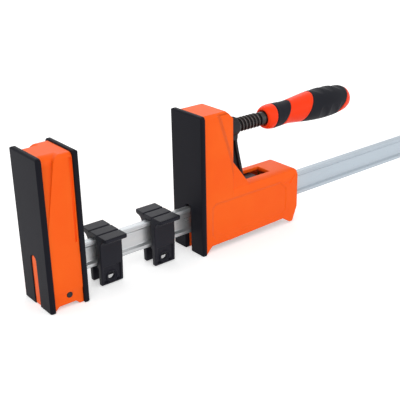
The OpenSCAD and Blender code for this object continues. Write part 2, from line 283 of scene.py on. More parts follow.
@dataclass(frozen=True)
class MouldedPlastic:
    """Injection-moulded plastic with a fine spark-eroded grain and faint flow marks."""

    colour: str
    flow_colour: str
    roughness: float
    gloss: float
    grain: float = 0.5 * MM
    grain_depth: float = 0.02 * MM
    flow_size: float = 45 * MM
    ripple_size: float = 28 * MM
    ripple_depth: float = 0.06 * MM

    def relief(self, g: Graph) -> tuple[tuple[bpy.types.NodeSocket, float], ...]:
        """Gives the heights and depths of further bumps, none on a plain moulding."""
        return ()

    def build(self, name: str) -> bpy.types.Material:
        """Makes the plastic: flow marks tint it, and the grain breaks up its gloss.

        Args:
            name: The material's name.

        Returns:
            The material.
        """
        g = Graph(name)
        flow = g.ranged(g.noise(self.flow_size, 3), 0, 1)
        grain = g.noise(self.grain, 3)
        ripple = g.noise(self.ripple_size, 1)
        g.put(Base_Color=g.blend(flow, linear(self.colour), linear(self.flow_colour)),
              Roughness=g.ranged(grain, self.roughness - 0.05, self.roughness + 0.07),
              Normal=g.bumps(*self.relief(g), (ripple, self.ripple_depth), (grain, self.grain_depth)),
              Specular_IOR_Level=self.gloss)
        return g.material


@dataclass(frozen=True)
class PanelledPlastic(MouldedPlastic):
    """The moving jaw's plastic: its sides carry a sunk panel and a facet behind a bent crease.

    Corners are in millimetres behind the clamping face and above the bench. The marks
    fade in between the two half widths of flank, so the jaw's top and ends stay bare.
    """

    panel_depth: float = 1.0 * MM
    panel_slope: float = 2.4 * MM
    facet_depth: float = 3.0 * MM
    facet_slope: float = 4.0 * MM
    panel: tuple[tuple[float, float], ...] = (
        (15, 21), (15, 55), (21, 59.8), (121, 59.8), (131, 50), (131, 22), (125, 16), (20, 16))
    crease: tuple[tuple[float, float], ...] = ((48.8, 70.4), (43.5, 103.1), (24.3, 160.5))
    flank: tuple[float, float] = (22 * MM, 24 * MM)

    @staticmethod
    def place(corner: tuple[float, float]) -> tuple[float, float]:
        """Gives a corner's X and Z in the frame."""
        return JAW_FRONT + corner[0] * MM, corner[1] * MM

    def relief(self, g: Graph) -> tuple[tuple[bpy.types.NodeSocket, float], ...]:
        """Sinks the panel and the facet on both sides of the jaw.

        The panel is where the least distance from its edges is above 0. The facet lies
        right of either stretch of the crease and above the crease's foot. Both are level
        past the slope at their edges.

        Args:
            g: The material's graph.

        Returns:
            A height and a depth for the panel, and another pair for the facet.
        """
        corners = [self.place(corner) for corner in self.panel]
        inside = g.beside(corners[-1], corners[0])
        for first, second in zip(corners, corners[1:]):
            inside = g.calculated("MINIMUM", inside, g.beside(first, second))
        foot, bend, top = (self.place(corner) for corner in self.crease)
        behind = g.calculated("MAXIMUM", g.beside(foot, bend), g.beside(bend, top))
        right_of_foot = (foot[0] + 1, foot[1])
        facet = g.calculated("MINIMUM", behind, g.beside(right_of_foot, foot))
        side = g.ranged(g.calculated("ABSOLUTE", g.along("Y")), 0, 1, *self.flank)
        sunk = g.ranged(inside, 0, -1, 0, self.panel_slope)
        fallen = g.ranged(facet, 0, -1, 0, self.facet_slope)
        return ((g.calculated("MULTIPLY", sunk, side), self.panel_depth),
                (g.calculated("MULTIPLY", fallen, side), self.facet_depth))


@dataclass(frozen=True)
class SoftTouch:
    """Matt thermoplastic rubber moulded over the handle."""

    colour: str
    flow_colour: str
    flow_size: float = 30 * MM
    grain: float = 0.35 * MM
    grain_depth: float = 0.015 * MM
    roughness: tuple[float, float] = (0.5, 0.66)
    gloss: float = 0.12
    sheen: float = 0.03
    sheen_roughness: float = 0.5

    def build(self, name: str) -> bpy.types.Material:
        """Makes the rubber: flow marks tint it, and the grain keeps it matt.

        Args:
            name: The material's name.

        Returns:
            The material.
        """
        g = Graph(name)
        flow = g.ranged(g.noise(self.flow_size), 0, 1)
        grain = g.noise(self.grain)
        g.put(Base_Color=g.blend(flow, linear(self.colour), linear(self.flow_colour)),
              Roughness=g.ranged(grain, *self.roughness), Normal=g.bumps((grain, self.grain_depth)),
              Specular_IOR_Level=self.gloss, Sheen_Weight=self.sheen, Sheen_Roughness=self.sheen_roughness)
        return g.material


@dataclass(frozen=True)
class DrawnZinc:
    """Bright zinc plate over drawn steel, with marks along its length.

    The plate is a neutral grey at the fixed jaw, and turns bluish from the moving jaw on: a painted
    reflection of the surroundings, not a tint of the zinc.
    """

    colour: str = "d0d0cf"
    painted_reflection_colour: str = "b7c2cb"
    cloud_colour: str = "acb4bc"
    painted_reflection_span: tuple[float, float] = (-170 * MM, -20 * MM)
    cloud_size: float = 26 * MM
    cloud_strength: float = 0.7
    streak_size: float = 0.7 * MM
    streak_depth: float = 0.012 * MM
    pore_size: float = 0.9 * MM
    pore_depth: float = 0.01 * MM
    roughness: tuple[float, float] = (0.26, 0.44)
    metal: float = 0.85
    brushing: float = 0.3

    def build(self, name: str) -> bpy.types.Material:
        """Makes the plate: clouds tint it, and streaks along the rail break up its gloss.

        Args:
            name: The material's name.

        Returns:
            The material.
        """
        g = Graph(name)
        # Painted reflection: along X the grey is blended towards a bluish tint that stands for the
        # surroundings mirrored in the far rail.
        plate = g.blend(g.ranged(g.along("X"), 0, 1, *self.painted_reflection_span),
                        linear(self.colour), linear(self.painted_reflection_colour))
        clouds = g.ranged(g.noise(self.cloud_size, 4, Axis.ALONG_RAIL), 0, self.cloud_strength)
        streaks = g.noise(self.streak_size, 3, Axis.ALONG_RAIL)
        pores = g.noise(self.pore_size)
        g.put(Base_Color=g.blend(clouds, plate, linear(self.cloud_colour)),
              Roughness=g.ranged(streaks, *self.roughness),
              Normal=g.bumps((streaks, self.streak_depth), (pores, self.pore_depth)),
              Metallic=self.metal, Anisotropic=self.brushing)
        return g.material


@dataclass(frozen=True)
class BlackOxide:
    """Oiled black oxide on a turned screw: black, with a painted grey highlight on the crests that patches of
    brown break up.
    """

    colour: str = "141314"
    painted_highlight_colour: str = "615e5c"
    brown_colour: str = "40352e"
    brown_size: float = 9 * MM
    painted_highlight_depth: float = 1.0 * MM
    grain: float = 0.5 * MM
    grain_depth: float = 0.01 * MM
    roughness: tuple[float, float] = (0.2, 0.32)
    metal: float = 0.6

    def build(self, name: str) -> bpy.types.Material:
        """Makes the oxide: near the outside it turns from black to grey and brown, a painted highlight along
        the crests.

        Args:
            name: The material's name.

        Returns:
            The material.
        """
        g = Graph(name)
        # Painted highlight: the crests, the outermost part of the thread, are made grey and brown in place of
        # the glints they catch.
        highlight_on_crest = g.ranged(g.from_axis(SCREW_Z), 0, 1, SCREW_RADIUS - self.painted_highlight_depth, SCREW_RADIUS)
        patches = g.ranged(g.noise(self.brown_size, 3), 0, 1, 0.4, 0.7)
        painted_highlight_tint = g.blend(patches, linear(self.painted_highlight_colour), linear(self.brown_colour))
        grain = g.noise(self.grain)
        g.put(Base_Color=g.blend(highlight_on_crest, linear(self.colour), painted_highlight_tint),
              Roughness=g.ranged(grain, *self.roughness), Normal=g.bumps((grain, self.grain_depth)),
              Metallic=self.metal)
        return g.material


@dataclass(frozen=True)
class CoatedCasting:
    """Black paint over a sand casting."""

    colour: str = "232328"
    thin_colour: str = "1b1b1f"
    patch_size: float = 14 * MM
    sand_size: float = 1.1 * MM
    sand_depth: float = 0.09 * MM
    roughness: tuple[float, float] = (0.4, 0.58)
    gloss: float = 0.25

    def build(self, name: str) -> bpy.types.Material:
        """Makes the paint: the grain of the sand mould shows through it.

        Args:
            name: The material's name.

        Returns:
            The material.
        """
        g = Graph(name)
        patches = g.ranged(g.noise(self.patch_size, 3), 0, 1)
        sand = g.noise(self.sand_size, 4)
        g.put(Base_Color=g.blend(patches, linear(self.colour), linear(self.thin_colour)),
              Roughness=g.ranged(sand, *self.roughness), Normal=g.bumps((sand, self.sand_depth)),
              Specular_IOR_Level=self.gloss)
        return g.material


@dataclass(frozen=True)
class PlatedSteel:
    """Plated small parts: screws, washers, springs and pins."""

    colour: str
    stain_colour: str
    roughness: float = 0.3
    stain_size: float = 5 * MM
    grain: float = 0.4 * MM
    grain_depth: float = 0.006 * MM
    metal: float = 0.9

    def build(self, name: str) -> bpy.types.Material:
        """Makes the plating: stains tint it, and fine grain breaks up its gloss.

        Args:
            name: The material's name.

        Returns:
            The material.
        """
        g = Graph(name)
        stain = g.ranged(g.noise(self.stain_size, 3), 0, 1)
        grain = g.noise(self.grain)
        g.put(Base_Color=g.blend(stain, linear(self.colour), linear(self.stain_colour)),
              Roughness=g.ranged(grain, self.roughness - 0.06, self.roughness + 0.08),
              Normal=g.bumps((grain, self.grain_depth)), Metallic=self.metal)
        return g.material


class Finish(Enum):
    """The finishes, named after the record's slots, and the moving jaw's own."""

    orange_housing = MouldedPlastic("ff6612", "fd5e0c", 0.4, 0.16)
    orange_jaw = PanelledPlastic("ff6612", "fd5e0c", 0.4, 0.16)
    black_face = MouldedPlastic("191921", "17171e", 0.46, 0.07, 0.6 * MM, 0.03 * MM)
    black_clip = MouldedPlastic("1d1d26", "1a1a23", 0.4, 0.16)
    handle_orange = MouldedPlastic("ff3f0a", "fb3a08", 0.33, 0.16, 0.8 * MM, 0.008 * MM)
    soft_grip = SoftTouch("1a1b23", "17181f")
    galvanised_rail = DrawnZinc()
    dark_steel = PlatedSteel("3a3b3e", "303134", 0.42)
    bright_steel = PlatedSteel("c4c8cf", "aab0ba")
    zinc_yellow = PlatedSteel("c9a24a", "b08436")
    cast_arm = CoatedCasting()
    black_screw = BlackOxide()

    def slot(self) -> str:
        """Gives the record's slot that the finish belongs to."""
        return "orange_housing" if self is Finish.orange_jaw else self.name

    def material(self) -> bpy.types.Material:
        """Gives the finish's material, made once."""
        name = "made_" + self.name
        return bpy.data.materials.get(name) or self.value.build(name)


# ---------- mesh helpers ----------


def new_piece(name: str, points: np.ndarray, faces: list[list[int]], body: str, finish: Finish,
              node: str) -> bpy.types.Object:
    """Makes a smooth, closed piece from points and faces and hangs it on a body.

    Args:
        name: The piece's name.
        points: One row of X, Y and Z for each vertex.
        faces: Vertex numbers of each face.
        body: CAD body that it moves with.
        finish: Its finish.
        node: CAD node that it stands for.

    Returns:
        The new object.
    """
    mesh = bpy.data.meshes.new(name)
    mesh.from_pydata(points.tolist(), [], faces)
    mesh.validate()
    work = bmesh.new()
    work.from_mesh(mesh)
    bmesh.ops.remove_doubles(work, verts=work.verts, dist=0.001 * MM)
    bmesh.ops.dissolve_degenerate(work, edges=work.edges, dist=0.0001 * MM)
    bmesh.ops.holes_fill(work, edges=work.edges)
    bmesh.ops.recalc_face_normals(work, faces=work.faces)
    work.to_mesh(mesh)
    work.free()
    piece = bpy.data.objects.new(name, mesh)
    bpy.context.scene.collection.objects.link(piece)
    finish_piece(piece, body, finish, node)
    return piece


def finish_piece(piece: bpy.types.Object, body: str, finish: Finish, node: str) -> None:
    """Gives a piece its material, smooth shading and body, and hides the CAD node that it stands for.

    Args:
        piece: The object.
        body: CAD body that it moves with.
        finish: Its finish.
        node: CAD node that it stands for.
    """
    piece.data.materials.clear()
    piece.data.materials.append(finish.material())
    piece.data.shade_smooth()
    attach(piece, body)
    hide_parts(node)
    LOG.info("%s: %d faces on %s", piece.name, len(piece.data.polygons), body)


def eased(corners: np.ndarray, cut: np.ndarray, steps: int = 4) -> np.ndarray:
    """Rounds the corners of a closed outline.

    Each corner becomes the curve (1 - s)^2 * before + 2 * s * (1 - s) * corner + s^2 * after,
    where before and after lie at the cut's distance from it on its two sides.

    Args:
        corners: Corners in order, one row each.
        cut: Distance at which the rounding of each corner begins.
        steps: Points less one on each rounding.

    Returns:
        The rounded outline.
    """
    before = np.roll(corners, 1, 0) - corners
    after = np.roll(corners, -1, 0) - corners
    before = corners + before / np.linalg.norm(before, axis=1)[:, None] * cut[:, None]
    after = corners + after / np.linalg.norm(after, axis=1)[:, None] * cut[:, None]
    s = np.linspace(0, 1, steps + 1)[None, :, None]
    curve = (1 - s) ** 2 * before[:, None] + 2 * s * (1 - s) * corners[:, None] + s ** 2 * after[:, None]
    return curve.reshape(-1, corners.shape[1])


def ring_faces(rows: int, columns: int) -> np.ndarray:
    """Joins rows of a grid that closes round its columns.

    Args:
        rows: Number of rings.
        columns: Points in each ring.

    Returns:
        The four vertex numbers of each face.
    """
    i, j = np.meshgrid(np.arange(rows - 1), np.arange(columns), indexing="ij")
    k = (j + 1) % columns
    quads = np.stack([i * columns + j, (i + 1) * columns + j, (i + 1) * columns + k, i * columns + k], -1)
    return quads.reshape(-1, 4)


def round_x(x: np.ndarray, radius: np.ndarray, angles: np.ndarray) -> np.ndarray:
    """Places points round the screw's axis.

    Args:
        x: Where each point lies along the rail.
        radius: Its distance from the axis.
        angles: Its angle round it, from +Y towards +Z.

    Returns:
        Rows of X, radius * cos(angle) and the axis's height + radius * sin(angle).
    """
    x, radius, angles = np.broadcast_arrays(x, radius, angles)
    points = np.stack([x, radius * np.cos(angles), SCREW_Z + radius * np.sin(angles)], -1)
    return points.reshape(-1, 3)


def crisp(piece: bpy.types.Object) -> None:
    """Lets the larger faces of a piece set its shading, so that flat sides look flat.

    Args:
        piece: The object.
    """
    shading = piece.modifiers.new("shading", "WEIGHTED_NORMAL")
    shading.mode = "FACE_AREA"
    shading.weight = 90
    shading.keep_sharp = True


def vertex_places(mesh: bpy.types.Mesh) -> np.ndarray:
    """Reads where a mesh's vertices are.

    Args:
        mesh: The mesh.

    Returns:
        One row of X, Y and Z for each vertex.
    """
    places = np.empty(3 * len(mesh.vertices), np.float32)
    mesh.vertices.foreach_get("co", places)
    return places.reshape(-1, 3)


@dataclass(frozen=True)
class Rounding:
    """Rounds the edges of a flat-sided mesh as a mould or a file does.

    The width is that of the widest rounding, and angle is the least turn of an edge that
    is rounded. A width under least stays sharp. Along a run of edges the width grows by at
    most growth times the distance, and it takes at most share of the room on either face.
    """

    width: float
    segments: int = 2
    angle: float = math.radians(28)
    least: float = 0.04 * MM
    growth: float = 0.33
    share: float = 0.9
    passes: int = 60

    def face_room(self, start: np.ndarray, normal: np.ndarray) -> np.ndarray:
        """Gives the widest strip that a flat face can lose along each of its edges.

        The circle that touches an edge and passes through a corner of the face has the
        radius distance squared / (2 * height), where height is measured from the edge
        into the face. The strip is a share of the least of these radii.

        Args:
            start: Corners of the face in order, one row each.
            normal: The face's normal.

        Returns:
            One width for each edge, from corner i to corner i + 1.
        """
        tiny = 1e-9
        unbounded = 1.0
        along = np.roll(start, -1, 0) - start
        length = np.maximum(np.linalg.norm(along, axis=1), tiny)
        along = along / length[:, None]
        inward = np.cross(normal, along)
        offset = start[None, :, :] - start[:, None, :]
        reach = np.clip(np.einsum("ikc,ic->ik", offset, along), 0, length[:, None])
        offset = offset - reach[:, :, None] * along[:, None, :]
        height = np.einsum("ikc,ic->ik", offset, inward)
        radius = np.einsum("ikc,ikc->ik", offset, offset) / (2 * np.maximum(height, tiny))
        corner = np.arange(len(start))
        radius[height < 0.002 * MM] = unbounded
        radius[corner, corner] = unbounded
        radius[corner, (corner + 1) % len(start)] = unbounded
        return self.share * radius.min(1)

    def edge_widths(self, work: bmesh.types.BMesh) -> np.ndarray:
        """Gives each edge the width of its rounding, 0 for edges that stay.

        Args:
            work: The mesh, with its flat areas merged into single faces.

        Returns:
            One width for each edge.
        """
        work.edges.ensure_lookup_table()
        room = np.full(len(work.edges), self.width)
        for face in work.faces:
            corners = np.array([loop.vert.co for loop in face.loops])
            index = np.array([loop.edge.index for loop in face.loops])
            np.minimum.at(room, index, self.face_room(corners, np.array(face.normal)))
        bent = np.array([edge.is_manifold and edge.calc_face_angle(0.0) > self.angle for edge in work.edges])
        ends = np.array([[vert.index for vert in edge.verts] for edge in work.edges])[bent]
        length = np.array([edge.calc_length() for edge in work.edges])[bent]
        narrow = room[bent]
        for _ in range(self.passes):
            narrowest = np.full(len(work.verts), self.width)
            np.minimum.at(narrowest, ends[:, 0], narrow)
            np.minimum.at(narrowest, ends[:, 1], narrow)
            narrow = np.minimum(narrow, narrowest[ends].min(1) + self.growth * length)
        widths = np.zeros(len(work.edges))
        widths[bent] = np.where(narrow < self.least, 0.0, narrow)
        return widths

    def marked(self, source: bpy.types.Object) -> bpy.types.Mesh:
        """Copies a CAD node's mesh, with a rounding weight or a sharp mark on its edges.

        Args:
            source: The CAD node's object.

        Returns:
            The new mesh, in triangles.
        """
        mesh = bpy.data.meshes.new(source.name + "_soft")
        work = bmesh.new()
        work.from_mesh(source.data)
        bmesh.ops.remove_doubles(work, verts=work.verts, dist=0.002 * MM)
        bmesh.ops.dissolve_limit(work, angle_limit=math.radians(0.5), verts=work.verts, edges=work.edges)
        work.verts.index_update()
        work.edges.index_update()
        widths = self.edge_widths(work)
        weight = work.edges.layers.float.new("bevel_weight_edge")
        for edge in work.edges:
            edge[weight] = widths[edge.index] / self.width
            edge.smooth = bool(widths[edge.index] > 0) or edge.calc_face_angle(0.0) < self.angle
        bmesh.ops.triangulate(work, faces=work.faces, quad_method="BEAUTY", ngon_method="BEAUTY")
        work.to_mesh(mesh)
        work.free()
        return mesh

    def replace(self, source: bpy.types.Object, body: str, finish: Finish) -> None:
        """Puts a rounded copy in a CAD node's place.

        Args:
            source: The CAD node's object.
            body: CAD body that it moves with.
            finish: The copy's finish.
        """
        piece = bpy.data.objects.new(source.name + "_soft", self.marked(source))
        bpy.context.scene.collection.objects.link(piece)
        finish_piece(piece, body, finish, source.name)
        bevel = piece.modifiers.new("rounding", "BEVEL")
        bevel.width = self.width
        bevel.segments = self.segments
        bevel.limit_method = "WEIGHT"
        bevel.use_clamp_overlap = False
        bevel.loop_slide = False
        self.keep_inside(piece, source)
        crisp(piece)

    @staticmethod
    def keep_inside(piece: bpy.types.Object, source: bpy.types.Object) -> None:
        """Applies a piece's rounding and pulls corners that overshoot back to the node's box.

        Args:
            piece: The rounded copy.
            source: The CAD node's object.
        """
        graph = bpy.context.evaluated_depsgraph_get()
        rounded = bpy.data.meshes.new_from_object(piece.evaluated_get(graph))
        piece.modifiers.clear()
        piece.data = rounded
        limits = vertex_places(source.data)
        places = np.clip(vertex_places(rounded), limits.min(0), limits.max(0))
        rounded.vertices.foreach_set("co", places.ravel())
        rounded.update()


# ---------- the clamp ----------


@dataclass
class SubAssembly:
    """CAD nodes that move together, and how they are dressed."""

    body: str

    def soften(self, rounding: Rounding, finish: Finish, *nodes: str) -> None:
        """Puts copies with rounded edges in the place of nodes.

        Args:
            rounding: How their edges are rounded.
            finish: Their finish.
            nodes: Their names.
        """
        for name in nodes:
            rounding.replace(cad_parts[name], self.body, finish)

    def paint(self, finish: Finish, *nodes: str) -> None:
        """Gives nodes whose shape stays their finish.

        Args:
            finish: Their finish.
            nodes: Their names.
        """
        for name in nodes:
            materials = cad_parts[name].data.materials
            materials.clear()
            materials.append(finish.material())
            LOG.info("%s: painted, on %s", name, self.body)


@dataclass
class RailFrame(SubAssembly):
    """The rail, with the fixed jaw on its near end and the stop on its far end.

    Each row of half_section is a corner of the rail's section: how far it lies inside
    the side, its height above the underside, and where its rounding begins, in millimetres.
    """

    body: str = "rail_frame"
    housing: Rounding = Rounding(0.5 * MM)
    face: Rounding = Rounding(1.2 * MM, 3)
    stop: Rounding = Rounding(0.7 * MM)
    fastener: Rounding = Rounding(0.4 * MM)
    half_section: tuple[tuple[float, float, float], ...] = (
        (0.0, 30.0, 0.7), (0.0, 27.4, 0.25), (0.7, 26.9, 0.25), (0.7, 25.0, 0.4),
        (3.4, 23.0, 0.8), (3.4, 6.0, 0.8), (0.0, 3.8, 0.4), (0.0, 0.0, 0.7))
    end_strip: float = 0.3 * MM

    def build(self) -> None:
        """Makes the fixed jaw, the end stop and the rail."""
        self.build_fixed_jaw()
        self.build_end_stop()
        self.build_rail()

    def build_fixed_jaw(self) -> None:
        """Dresses the jaw's housing, its two faces, and the steel that holds them."""
        self.soften(self.housing, Finish.orange_housing, "fixed_jaw_housing")
        self.soften(self.face, Finish.black_face, "fixed_jaw_face", "fixed_jaw_back_face")
        self.soften(self.fastener, Finish.dark_steel, "fixed_jaw_cross_pin")
        self.paint(Finish.dark_steel, "fixed_jaw_core")
        self.paint(Finish.bright_steel, "rail_rivets")

    def build_end_stop(self) -> None:
        """Dresses the stop on the rail's far end and its screw."""
        self.soften(self.stop, Finish.black_clip, "rail_end_stop")
        self.soften(self.fastener, Finish.bright_steel, "end_stop_screw")

    def build_rail(self) -> None:
        """Makes the drawn rail, its rounded section carried along X.

        A narrow strip at each end keeps the shading of the end off the long sides.
        """
        low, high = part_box("rail")
        rows = np.array(self.half_section) * MM
        right = np.stack([high[1] - rows[:, 0], low[2] + rows[:, 1]], 1)
        left = right[::-1] * [-1, 1]
        section = eased(np.concatenate([right, left]), np.concatenate([rows[:, 2], rows[::-1, 2]]))
        count = len(section)
        ends = (low[0], low[0] + self.end_strip, high[0] - self.end_strip, high[0])
        points = np.concatenate([np.column_stack([np.full(count, x), section]) for x in ends])
        first_cap = np.arange(count)
        last_cap = first_cap[::-1] + (len(ends) - 1) * count
        faces = ring_faces(len(ends), count).tolist() + [first_cap.tolist(), last_cap.tolist()]
        crisp(new_piece("rail_drawn", points, faces, self.body, Finish.galvanised_rail, "rail"))


@dataclass
class RailClip(SubAssembly):
    """A support clip, which slides on the rail by itself."""

    node: str
    edges: Rounding = Rounding(0.8 * MM)

    def build(self) -> None:
        """Dresses the clip."""
        self.soften(self.edges, Finish.black_clip, self.node)


@dataclass
class MovingJaw(SubAssembly):
    """The jaw that the screw feeds forward."""

    body: str = "moving_jaw"
    housing: Rounding = Rounding(0.7 * MM)
    face: Rounding = Rounding(1.2 * MM, 3)

    def build(self) -> None:
        """Dresses the jaw's housing, its face, and the steel inside it."""
        self.soften(self.housing, Finish.orange_jaw, "moving_jaw_housing")
        self.soften(self.face, Finish.black_face, "moving_jaw_face")
        self.paint(Finish.dark_steel, "moving_jaw_core")
        self.paint(Finish.bright_steel, "thrust_washer", "jaw_guide_screws")


@dataclass
class SlidingArm(SubAssembly):
    """The cast arm that grips the rail and holds the screw's nut."""

    body: str = "arm"
    casting: Rounding = Rounding(1.0 * MM)

    def build(self) -> None:
        """Dresses the arm, its grip pins, and the spring that tilts it."""
        self.soften(self.casting, Finish.cast_arm, "sliding_arm")
        self.paint(Finish.bright_steel, "arm_grip_pins", "tilt_spring_screw")
        self.paint(Finish.zinc_yellow, "arm_tilt_spring")


@dataclass
class Screw(SubAssembly):
    """The screw: a thread between two plain shanks.

    Each row of a shank is a distance and a radius, in millimetres. The front shank's
    distances run from the screw's tip, and the rear shank's from the thread's end.
    """

    body: str = "screw"
    pitch: float = 5 * MM
    depth: float = 2.1 * MM
    root_share: float = 0.18
    run_out: float = 3 * MM
    rows_per_pitch: int = 14
    columns: int = 96
    thread_start: float = 22.1 * MM
    collar_gap: float = 7 * MM
    front_shank: tuple[tuple[float, float], ...] = (
        (0, 0), (0, 5.4), (0.6, 6), (22, 6), (22.1, 6), (22.11, 5.85), (22.11, 0))
    rear_shank: tuple[tuple[float, float], ...] = (
        (-0.01, 0), (-0.01, 5.85), (0.6, 7.5), (1.2, 7.9), (77, 7.9), (77, 0))

    def build(self) -> None:
        """Makes the thread and its shanks, and dresses the ring that holds the screw."""
        start = SCREW_LOW[0] + self.thread_start
        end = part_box("handle_core")[0][0] - self.collar_gap
        shells = (self.thread(start, end), self.shank(self.front_shank, SCREW_LOW[0]),
                  self.shank(self.rear_shank, end))
        counts = [len(points) for points, _ in shells]
        offsets = np.cumsum([0] + counts[:-1])
        points = np.concatenate([points for points, _ in shells])
        faces = np.concatenate([quads + offset for (_, quads), offset in zip(shells, offsets)])
        new_piece("screw_thread", points, faces.tolist(), self.body, Finish.black_screw, "spindle")
        self.paint(Finish.bright_steel, "spindle_retaining_ring")

    def thread(self, start: float, end: float) -> tuple[np.ndarray, np.ndarray]:
        """Makes the thread as a grid wound round the axis.

        A point of row i and column j lies at x = start + (i / rows_per_pitch + j / columns - 1)
        * pitch, held between start and end, and at the angle 2 * pi * j / columns. So the
        seam joins each row to the one a pitch further on. Over a pitch the ridge rises as
        half a sine wave between flat roots, and it runs out at both ends.

        Args:
            start: X at which the thread begins.
            end: X at which it ends.

        Returns:
            Its points, and the four vertex numbers of each face.
        """
        turns = (end - start) / self.pitch + 1
        rows = round(turns * self.rows_per_pitch) + self.rows_per_pitch
        i, j = np.meshgrid(np.arange(rows), np.arange(self.columns), indexing="ij")
        x = start - self.pitch + (i / self.rows_per_pitch + j / self.columns) * self.pitch
        phase = (i % self.rows_per_pitch) / self.rows_per_pitch
        ridge = np.sin(math.pi * np.clip((phase - self.root_share) / (1 - 2 * self.root_share), 0, 1))
        fade = np.clip(np.minimum(x - start, end - x) / self.run_out, 0, 1)
        radius = SCREW_RADIUS - self.depth * (1 - ridge * fade)
        points = round_x(np.clip(x, start, end), radius, 2 * math.pi * j / self.columns)
        shift = np.where(j == self.columns - 1, self.rows_per_pitch, 0)
        beside = (j + 1) % self.columns
        quads = np.stack([i * self.columns + j, (i + 1) * self.columns + j,
                          (i + 1 + shift) * self.columns + beside, (i + shift) * self.columns + beside], -1)
        return points, quads[i + 1 + shift < rows]

    def shank(self, profile: tuple[tuple[float, float], ...], start: float) -> tuple[np.ndarray, np.ndarray]:
        """Turns a shank about the axis.

        Args:
            profile: Its rows of distance and radius, in millimetres.
            start: X that the distances run from.

        Returns:
            Its points, and the four vertex numbers of each face.
        """
        rows = np.array(profile) * MM
        angles = np.linspace(0, 2 * math.pi, self.columns, endpoint=False)
        points = round_x(start + rows[:, :1], rows[:, 1:], angles)
        return points, ring_faces(len(rows), self.columns)


